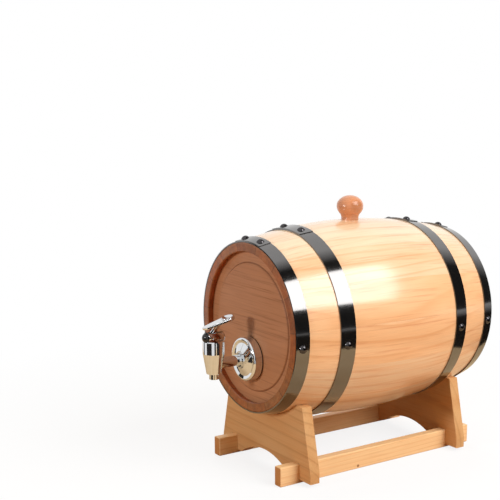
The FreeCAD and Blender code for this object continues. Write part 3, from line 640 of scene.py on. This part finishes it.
@dataclass(frozen=True)
class Metal:
    """A plated or bare metal, with fine wear in its gloss and a faint cloud in its colour."""

    name: str
    tint: str
    shade: str
    roughness: float = 0.06
    spread: float = 0.03
    streak: tuple[float, float, float] = (0.2, 0.2, 0.2)
    bump: float = 0.0

    def build(self) -> bpy.types.Material:
        """Build the material.

        Returns:
            The material, with the same wear in its colour and its gloss.
        """
        material, tree, shader = new_material(self.name)
        place = add_node(
            tree, VECTOR_MATH, {"operation": "MULTIPLY", 1: self.streak}, {0: row_millimetres(tree)}
        ).outputs[0]
        wear = add_node(
            tree, NOISE, {"Scale": 1.0, "Detail": 4.0, "Roughness": 0.65}, {"Vector": place}
        ).outputs["Fac"]
        colour = add_node(
            tree, COLOUR_MIX, {"data_type": "RGBA", 6: linear(self.shade), 7: linear(self.tint)}, {0: wear}
        ).outputs[2]
        gloss = add_node(
            tree, MAP_RANGE,
            {"From Min": 0.3, "From Max": 0.7, "To Min": self.roughness - self.spread / 2,
             "To Max": self.roughness + self.spread / 2},
            {"Value": wear},
        ).outputs["Result"]
        shader.inputs["Metallic"].default_value = 1.0
        tree.links.new(colour, shader.inputs["Base Color"])
        tree.links.new(gloss, shader.inputs["Roughness"])
        if self.bump:
            relief = add_node(
                tree, "ShaderNodeBump", {"Strength": self.bump, "Distance": 0.05 * MM}, {"Height": wear}
            ).outputs["Normal"]
            tree.links.new(relief, shader.inputs["Normal"])
        return material


@dataclass(frozen=True)
class Moulded:
    """Moulded rubber or plastic with the fine grain of its mould."""

    name: str
    tint: str
    shade: str
    roughness: float
    spread: float = 0.1
    grain: float = 2.5
    bump: float = 0.2

    def build(self) -> bpy.types.Material:
        """Build the material.

        Returns:
            The material, with the mould's grain in its colour, gloss and relief.
        """
        material, tree, shader = new_material(self.name)
        wear = add_node(
            tree, NOISE, {"Scale": self.grain, "Detail": 3.0, "Roughness": 0.6},
            {"Vector": row_millimetres(tree)},
        ).outputs["Fac"]
        colour = add_node(
            tree, COLOUR_MIX, {"data_type": "RGBA", 6: linear(self.shade), 7: linear(self.tint)}, {0: wear}
        ).outputs[2]
        gloss = add_node(
            tree, MAP_RANGE,
            {"From Min": 0.3, "From Max": 0.7, "To Min": self.roughness - self.spread / 2,
             "To Max": self.roughness + self.spread / 2},
            {"Value": wear},
        ).outputs["Result"]
        relief = add_node(
            tree, "ShaderNodeBump", {"Strength": self.bump, "Distance": 0.03 * MM}, {"Height": wear}
        ).outputs["Normal"]
        tree.links.new(colour, shader.inputs["Base Color"])
        tree.links.new(gloss, shader.inputs["Roughness"])
        tree.links.new(relief, shader.inputs["Normal"])
        return material


def dress_nodes(material: bpy.types.Material, names: list[str]) -> None:
    """Give CAD nodes a material.

    Args:
        material: the material that replaces what they came with.
        names: the nodes.
    """
    for name in names:
        piece = frame["nodes"][name]
        piece.data.materials.clear()
        piece.data.materials.append(material)
        LOG.info("%s is %s", name, material.name)


@dataclass
class Cask:
    """Staves, heads, hoops, rivets and bung."""

    # Clear-lacquered pine: pale to honey wood with soft orange late lines, glossy where the light falls.
    staves: StaveWood = StaveWood(
        "lacquered_pine_staves", early="#F8C895", late="#DF975B", blush="#F3B57D", streak="#CD7444",
        pith=(0.0, 40.0), ring=4.6, wander=3.0, late_share=0.5, streak_share=0.6, bend=0.8, coat=1.0,
        coat_roughness=0.165, coat_ior=1.72, end_tint="#FFFFFF",
    )
    # Pine under a brown stain: the pores take more of it, so the lines go darker than the ground.
    heads: HeadWood = HeadWood(
        "stained_pine_heads", early="#C08A64", late="#966440", blush="#B37B54", grain=Grain.ALONG_X,
        streak="#885433", pith=(10.0, -160.0), ring=7.5, wander=5.0, late_share=0.22, streak_share=0.85,
        roughness=0.45, specular=0.25, coat=0.05,
    )
    # Turned pine with the rosier tone of a denser piece, buffed under its lacquer.
    bung: Wood = Wood(
        "turned_pine_bung", early="#D99468", late="#BF7C4F", blush="#D1895C", grain=Grain.ALONG_X,
        streak="#C0703F", pith=(150.0, 40.0), ring=3.4, wander=2.0, late_share=0.45, streak_share=0.3,
        roughness=0.28, coat=0.5, coat_roughness=0.06,
    )
    # Rolled steel strip, black nickel plated: dark and near a mirror, with faint streaks round the hoop.
    hoops: Metal = Metal(
        "black_nickel_steel_strip", "#838180", "#747271", roughness=0.11, spread=0.05,
        streak=(0.25, 2.2, 0.25), bump=0.02,
    )
    # Cold-headed steel rivets in the same plate, darker and polished on the dome.
    rivets: Metal = Metal("black_nickel_rivet", "#565355", "#444243", roughness=0.06)

    def build(self) -> None:
        """Dress the cask."""
        nodes = frame["record"]["behaviour"]["bodies"]["cask"]
        dress_nodes(self.staves.build(), [name for name in nodes if "stave" in name])
        dress_nodes(self.heads.build(), ["front_head", "rear_head"])
        dress_nodes(self.hoops.build(), [name for name in nodes if name.endswith("_hoop")])
        dress_nodes(self.rivets.build(), [name for name in nodes if name.endswith("_rivets")])
        dress_nodes(self.bung.build(), ["bung"])


@dataclass
class ReturnSpring:
    """The spring over the valve stem: one wire wound between the stem's foot and the bonnet's roof.

    Lengths are in metres.
    """

    axis: tuple[float, float] = (0.0, -0.1466)
    foot: float = 0.1231
    head: float = 0.1426
    roof: float = 0.1431
    coil_radius: float = 0.0039
    wire_radius: float = 0.00045
    turns: int = 6
    steps: int = 32
    sides: int = 12
    travel: float = 0.0032

    def section(self, turns: float) -> list[Vector]:
        """Give the wire's section after a number of turns.

        Args:
            turns: turns from the wire's lower end.

        Returns:
            The corners round the wire, in the row frame.
        """
        angle = 2 * math.pi * turns
        outward = Vector((math.cos(angle), math.sin(angle), 0.0))
        pitch = (self.head - self.foot) / self.turns
        middle = Vector((*self.axis, self.foot + pitch * turns)) + outward * self.coil_radius
        along = Vector((-outward.y, outward.x, pitch / (2 * math.pi * self.coil_radius))).normalized()
        across = along.cross(outward)
        corners = []
        for side in range(self.sides):
            turn = 2 * math.pi * side / self.sides
            spoke = outward * math.cos(turn) + across * math.sin(turn)
            corners.append(middle + spoke * self.wire_radius)
        return corners

    def build(self, steel: bpy.types.Material) -> None:
        """Wind the spring and hang it on the cask in place of the CAD spring.

        Args:
            steel: the wire's material.
        """
        count = self.turns * self.steps
        points = [corner for step in range(count + 1) for corner in self.section(step / self.steps)]
        faces = []
        for step in range(count):
            for side in range(self.sides):
                here = step * self.sides + side
                beside = step * self.sides + (side + 1) % self.sides
                faces.append((here, beside, beside + self.sides, here + self.sides))
        faces.append(tuple(reversed(range(self.sides))))
        faces.append(tuple(count * self.sides + side for side in range(self.sides)))
        mesh = bpy.data.meshes.new("return_coil")
        mesh.from_pydata(points, [], faces)
        mesh.polygons.foreach_set("use_smooth", [len(face) == 4 for face in faces])
        mesh.materials.append(steel)
        spring = bpy.data.objects.new("return_coil", mesh)
        bpy.context.scene.collection.objects.link(spring)
        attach(spring, "cask")
        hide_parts("return_spring")
        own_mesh(spring)
        LOG.info("return_coil rides on the cask")


@dataclass
class Tap:
    """Rosette, body, bonnet, lever and the valve inside."""

    # Polished chrome plate on cast zinc: a clear mirror, with only fine wiping marks.
    chrome: Metal = Metal("polished_chrome_plate", "#E4E5E6", "#D4D6D8", roughness=0.05, spread=0.02)
    # Drawn stainless wire and rod: grey and a little satin.
    steel: Metal = Metal(
        "drawn_stainless_steel", "#BDBDBC", "#A5A5A4", roughness=0.28, streak=(1.5, 1.5, 0.2)
    )
    # Moulded nitrile rubber: black and matt.
    rubber: Moulded = Moulded("moulded_nitrile_rubber", "#1E1E1E", "#151515", roughness=0.62)
    # Glossy black moulded nylon, as the plug in the knuckle's end.
    plug: Moulded = Moulded(
        "moulded_black_nylon", "#121113", "#0B0A0C", roughness=0.16, grain=0.4, bump=0.02
    )
    spring: ReturnSpring = field(default_factory=ReturnSpring)

    def build(self) -> None:
        """Dress the tap and wind its spring."""
        chromed = ["tap_body", "nozzle", "rosette", "bonnet", "lever", "pivot_pin", "link_pin", "back_nut"]
        dress_nodes(self.chrome.build(), chromed)
        steel = self.steel.build()
        dress_nodes(steel, ["valve_stem", "return_spring"])
        self.spring.build(steel)
        dress_nodes(self.rubber.build(), ["valve_seal", "outer_gasket", "inner_washer"])
        dress_nodes(self.plug.build(), ["knuckle_plug"])


@dataclass
class Cradle:
    """Two boards on two rails, with four screws."""

    # Planed pine boards with the grain across them, under a thin satin lacquer.
    boards: Wood = Wood(
        "satin_pine_boards", early="#E0B27C", late="#AC7541", blush="#D49C62", grain=Grain.ALONG_X,
        streak="#C47A40", pith=(-25.0, -120.0), ring=10.5, wander=7.0, late_share=0.5, end_tint="#F7F7F7",
        roughness=0.45, specular=0.25, coat=0.05,
    )
    # Planed pine rails with the grain along them, and one pin knot in the right rail's side.
    rails: Wood = Wood(
        "satin_pine_rails", early="#FAD39E", late="#E5AF76", blush="#F6C890", grain=Grain.ALONG_Y,
        streak="#DC9558", pith=(30.0, 75.0), ring=4.4, wander=3.0, late_share=0.55,
        knots=((65.6, -9.2, 3.2),), end_tint="#D2B090", roughness=0.45, specular=0.25, coat=0.05,
    )
    # Zinc-plated steel: pale grey with the dull bloom of a barrel-plated screw.
    screws: Metal = Metal(
        "zinc_plated_steel", "#C9C7BE", "#A9A8A2", roughness=0.38, spread=0.12, streak=(1.2, 1.2, 1.2)
    )

    def build(self) -> None:
        """Dress the cradle."""
        dress_nodes(self.boards.build(), ["front_board", "rear_board"])
        dress_nodes(self.rails.build(), ["left_rail", "right_rail"])
        dress_nodes(self.screws.build(), ["cradle_screws"])


@dataclass
class Lamp:
    """A soft lamp: where it stands from the object's middle, its side, and the light it gives there."""

    name: str
    direction: tuple[float, float, float]
    side: float
    level: float
    distance: float = 1.6
    roll: float = 0.0
    mirrored: bool = False

    def build(self, aim: Vector) -> None:
        """Hang the lamp.

        Args:
            aim: the point that it faces.
        """
        data = bpy.data.lights.new(self.name, "AREA")
        data.shape = "SQUARE"
        data.size = self.side
        # A level of 1 lights a facing surface so that its colour renders as it is written.
        data.energy = self.level * math.pi ** 2 * self.distance ** 2
        lamp = bpy.data.objects.new(self.name, data)
        lamp.visible_camera = False
        lamp.visible_glossy = self.mirrored
        bpy.context.scene.collection.objects.link(lamp)
        out = Vector(self.direction).normalized()
        lamp.location = aim + out * self.distance
        turn = out.to_track_quat("Z", "Y") @ Quaternion((0.0, 0.0, 1.0), math.radians(self.roll))
        lamp.rotation_euler = turn.to_euler()


def reflection_only(
    name: str, points: list[tuple], faces: list[tuple], material: bpy.types.Material
) -> None:
    """Add a studio card that only reflections see.

    Args:
        name: the card's name.
        points: its corners.
        faces: the corners of each face.
        material: its cloth or paint.
    """
    mesh = bpy.data.meshes.new(name)
    mesh.from_pydata(points, [], faces)
    mesh.materials.append(material)
    card = bpy.data.objects.new(name, mesh)
    bpy.context.scene.collection.objects.link(card)
    for sight in ("camera", "diffuse", "shadow", "transmission", "volume_scatter"):
        setattr(card, f"visible_{sight}", False)


@dataclass
class Flag:
    """A black flag, as studios stand round polished metal: a patch of a sphere that only reflections see.

    Angles are in degrees from the row's +X, and lengths in metres. The cloth thins to nothing along the
    fade's direction, from its first distance to its second.
    """

    name: str
    centre: tuple[float, float, float]
    radius: float
    around: tuple[float, float]
    rise: tuple[float, float]
    fade_along: tuple[float, float, float]
    fade: tuple[float, float]
    steps: int = 16

    def point(self, across: float, upward: float) -> tuple[float, float, float]:
        """Find a point of the cloth.

        Args:
            across: the share of the flag's width.
            upward: the share of its height.

        Returns:
            The point, in metres.
        """
        turn = math.radians(self.around[0] + across * (self.around[1] - self.around[0]))
        lift = math.radians(self.rise[0] + upward * (self.rise[1] - self.rise[0]))
        reach = self.radius * math.cos(lift)
        return (
            self.centre[0] + reach * math.cos(turn),
            self.centre[1] + reach * math.sin(turn),
            self.centre[2] + self.radius * math.sin(lift),
        )

    def build(self) -> None:
        """Stand the flag where it belongs."""
        row = self.steps + 1
        points = [self.point(i / self.steps, j / self.steps) for j in range(row) for i in range(row)]
        faces = [
            (j * row + i, j * row + i + 1, (j + 1) * row + i + 1, (j + 1) * row + i)
            for j in range(self.steps) for i in range(self.steps)
        ]
        reflection_only(self.name, points, faces, self.cloth())

    def cloth(self) -> bpy.types.Material:
        """Make the flag's black cloth.

        Returns:
            The cloth's material.
        """
        material, tree, shader = new_material(f"{self.name}_cloth")
        weave = add_node(tree, NOISE, {"Scale": 0.3}, {"Vector": row_millimetres(tree)}).outputs["Fac"]
        black = add_node(
            tree, COLOUR_MIX, {"data_type": "RGBA", 6: linear("#0A0A0B"), 7: linear("#18181A")}, {0: weave}
        ).outputs[2]
        tree.links.new(black, shader.inputs["Base Color"])
        along = add_node(
            tree, VECTOR_MATH, {"operation": "DOT_PRODUCT", 1: self.fade_along}, {0: row_millimetres(tree)}
        ).outputs["Value"]
        share = add_node(
            tree, MAP_RANGE,
            {"From Min": self.fade[0] / MM, "From Max": self.fade[1] / MM, "To Min": 0.0, "To Max": 1.0},
            {"Value": along},
        ).outputs["Result"]
        clear = add_node(tree, "ShaderNodeBsdfTransparent")
        mix = add_node(
            tree, "ShaderNodeMixShader",
            links={0: share, 1: shader.outputs["BSDF"], 2: clear.outputs["BSDF"]},
        )
        output = next(node for node in tree.nodes if node.type == "OUTPUT_MATERIAL")
        tree.links.new(mix.outputs[0], output.inputs["Surface"])
        return material


@dataclass
class TableTop:
    """A warm round table top just over the floor, which only reflections see."""

    centre: tuple[float, float] = (0.0, -0.02)
    radius: float = 0.62
    height: float = 0.0004
    sides: int = 64
    light: str = "#EED7B0"
    dark: str = "#D6B88C"

    def build(self) -> None:
        """Lay the table top."""
        corners = [
            (
                self.centre[0] + self.radius * math.cos(2 * math.pi * k / self.sides),
                self.centre[1] + self.radius * math.sin(2 * math.pi * k / self.sides),
                self.height,
            )
            for k in range(self.sides)
        ]
        material, tree, shader = new_material("warm_table_paint")
        cloud = add_node(tree, NOISE, {"Scale": 0.01}, {"Vector": row_millimetres(tree)}).outputs["Fac"]
        paint = add_node(
            tree, COLOUR_MIX,
            {"data_type": "RGBA", 6: linear(self.light), 7: linear(self.dark)}, {0: cloud},
        ).outputs[2]
        tree.links.new(paint, shader.inputs["Base Color"])
        shader.inputs["Roughness"].default_value = 0.9
        reflection_only("warm_table_top", corners, [tuple(range(self.sides))], material)


@dataclass
class Studio:
    """Floor, world, lamps and camera. Angles are in degrees and lengths in metres."""

    aim: tuple[float, float, float] = (0.0, 0.0262, 0.1546)
    azimuth: float = 52.39
    elevation: float = 11.41
    roll: float = 0.70
    distance: float = 1.19537
    focal_pixels: float = 1077.02
    centre_pixels: tuple[float, float] = (348.65, 313.46)
    ambient: float = 0.22
    ambient_tint: str = "#FFE0BE"
    floor_side: float = 8.0
    floor_paint: str = "#FAFAF9"
    floor_bounce: str = "#A87647"
    shadow_share: float = 0.16
    shadow_reach: tuple[float, float] = (0.25, 0.65)
    lamps: list[Lamp] = field(default_factory=lambda: [
        Lamp("large_softbox", (0.691, 0.286, 0.664), 1.07, 0.76, roll=-15.4, mirrored=True),
        Lamp("overhead_softbox", (-0.35, 0.0, 1.0), 0.9, 0.26),
        Lamp("front_key", (0.03, -0.97, 0.225), 0.2, 0.31, mirrored=True),
        Lamp("low_right_fill", (0.9, 0.18, 0.4), 0.6, 0.38),
        Lamp("left_fill", (-0.85, 0.35, 0.35), 0.9, 0.3),
    ])
    flags: list[Flag] = field(default_factory=lambda: [
        Flag(
            "flag_round_softbox", (0.0, 0.0, 0.1), 1.95, (-22.0, 112.0), (0.0, 90.0),
            (1.0, 0.0, 0.0), (0.45, -0.1),
        ),
        Flag("flag_right", NEAR_TAP, 0.48, (2.0, 80.0), (-15.5, 4.0), UPWARD, (0.13, 0.165)),
        Flag("flag_side", NEAR_TAP, 0.40, (-22.0, -6.0), (-18.9, 18.0), UPWARD, (0.2, 0.25)),
        Flag("flag_front", NEAR_TAP, 0.40, (-106.0, -50.0), (-18.9, 18.0), UPWARD, (0.2, 0.25)),
        Flag("flag_left", NEAR_TAP, 0.40, (-152.0, -136.0), (-18.9, 18.0), UPWARD, (0.2, 0.25)),
    ])
    table: TableTop = field(default_factory=TableTop)

    def build(self) -> None:
        """Set up the floor, the light and the camera."""
        self.light_world()
        self.lay_floor()
        for lamp in self.lamps:
            lamp.build(Vector(self.aim))
            LOG.info("lamp %s", lamp.name)
        for flag in self.flags:
            flag.build()
            LOG.info("flag %s", flag.name)
        self.table.build()
        self.place_camera()
        bpy.context.scene.view_settings.view_transform = "Standard"

    def seen_directly(self, tree: Tree) -> Socket:
        """Tell the rays that see the studio from those that only carry light.

        Args:
            tree: the node tree that asks.

        Returns:
            1 for rays from the camera, from gloss and through glass, and 0 for the rest.
        """
        path = add_node(tree, "ShaderNodeLightPath").outputs
        gloss = add_node(
            tree, MATH, {"operation": "MAXIMUM"}, {0: path["Is Camera Ray"], 1: path["Is Glossy Ray"]}
        ).outputs[0]
        return add_node(
            tree, MATH, {"operation": "MAXIMUM"}, {0: gloss, 1: path["Is Transmission Ray"]}
        ).outputs[0]

    def light_world(self) -> None:
        """Make a world that is white where it is seen and lights the object softly."""
        world = bpy.data.worlds.new("studio")
        bpy.context.scene.world = world
        world.use_nodes = True
        tree = world.node_tree
        tree.nodes.clear()
        seen = self.seen_directly(tree)
        level = add_node(
            tree, MAP_RANGE, {"To Min": self.ambient, "To Max": 1.0}, {"Value": seen}
        ).outputs["Result"]
        # The fill that reaches the shade has come off warm walls; what is seen of the world is white.
        tone = add_node(
            tree, COLOUR_MIX,
            {"data_type": "RGBA", 6: linear(self.ambient_tint), 7: linear("#FFFFFF")}, {0: seen},
        ).outputs[2]
        sky = add_node(tree, "ShaderNodeBackground", links={"Color": tone, "Strength": level})
        add_node(tree, "ShaderNodeOutputWorld", links={"Surface": sky.outputs[0]})

    def lay_floor(self) -> None:
        """Lay a pale floor that reads white and keeps the object's shadow."""
        half = self.floor_side / 2
        mesh = bpy.data.meshes.new("floor")
        corners = [(-half, -half, 0), (half, -half, 0), (half, half, 0), (-half, half, 0)]
        mesh.from_pydata(corners, [], [(0, 1, 2, 3)])
        floor = bpy.data.objects.new("floor", mesh)
        bpy.context.scene.collection.objects.link(floor)
        material, tree, shader = new_material("pale_studio_floor")
        # The camera sees white paint with its shadow; the object gets the bounce of a warm dim floor.
        paint = add_node(
            tree, COLOUR_MIX,
            {"data_type": "RGBA", 6: linear(self.floor_bounce), 7: linear(self.floor_paint)},
            {0: self.seen_directly(tree)},
        ).outputs[2]
        tree.links.new(paint, shader.inputs["Base Color"])
        shader.inputs["Roughness"].default_value = 0.9
        white = add_node(tree, "ShaderNodeEmission", {"Color": linear("#FFFFFF"), "Strength": 1.0})
        # Near the object the paint shows its shadow; further out the floor is plain white.
        place = add_node(tree, "ShaderNodeTexCoord").outputs["Object"]
        away = add_node(tree, VECTOR_MATH, {"operation": "LENGTH"}, {0: place}).outputs["Value"]
        whiteness = add_node(
            tree, MAP_RANGE,
            {"From Min": self.shadow_reach[0], "From Max": self.shadow_reach[1],
             "To Min": 1.0 - self.shadow_share, "To Max": 1.0},
            {"Value": away},
        ).outputs["Result"]
        share = add_node(
            tree, MATH, {"operation": "MULTIPLY"}, {0: self.seen_directly(tree), 1: whiteness}
        )
        mix = add_node(
            tree, "ShaderNodeMixShader",
            links={0: share.outputs[0], 1: shader.outputs["BSDF"], 2: white.outputs[0]},
        )
        output = next(node for node in tree.nodes if node.type == "OUTPUT_MATERIAL")
        tree.links.new(mix.outputs[0], output.inputs["Surface"])
        mesh.materials.append(material)

    def place_camera(self) -> None:
        """Set the camera at the photograph's viewing angle."""
        turn, lift, lean = (math.radians(value) for value in (self.azimuth, self.elevation, self.roll))
        back = Vector((math.sin(turn) * math.cos(lift), -math.cos(turn) * math.cos(lift), math.sin(lift)))
        right = Vector((math.cos(turn), math.sin(turn), 0))
        up = back.cross(right)
        side = right * math.cos(lean) + up * math.sin(lean)
        top = up * math.cos(lean) - right * math.sin(lean)
        data = bpy.data.cameras.new("photo_camera")
        data.sensor_width = 36.0
        data.lens = self.focal_pixels * data.sensor_width / PHOTO_SIDE
        data.shift_x = (PHOTO_SIDE / 2 - self.centre_pixels[0]) / PHOTO_SIDE
        data.shift_y = (self.centre_pixels[1] - PHOTO_SIDE / 2) / PHOTO_SIDE
        camera = bpy.data.objects.new("photo_camera", data)
        bpy.context.scene.collection.objects.link(camera)
        place = Matrix((side, top, back)).transposed().to_4x4()
        place.translation = Vector(self.aim) + back * self.distance
        camera.matrix_world = place
        bpy.context.scene.camera = camera


def main() -> None:
    """Dress the object and light it."""
    logging.basicConfig(level=logging.INFO, format="%(message)s")
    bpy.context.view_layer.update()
    for part in (Studio(), Cask(), Tap(), Cradle()):
        part.build()
        LOG.info("built %s", type(part).__name__)


if __name__ == "__main__":
    main()
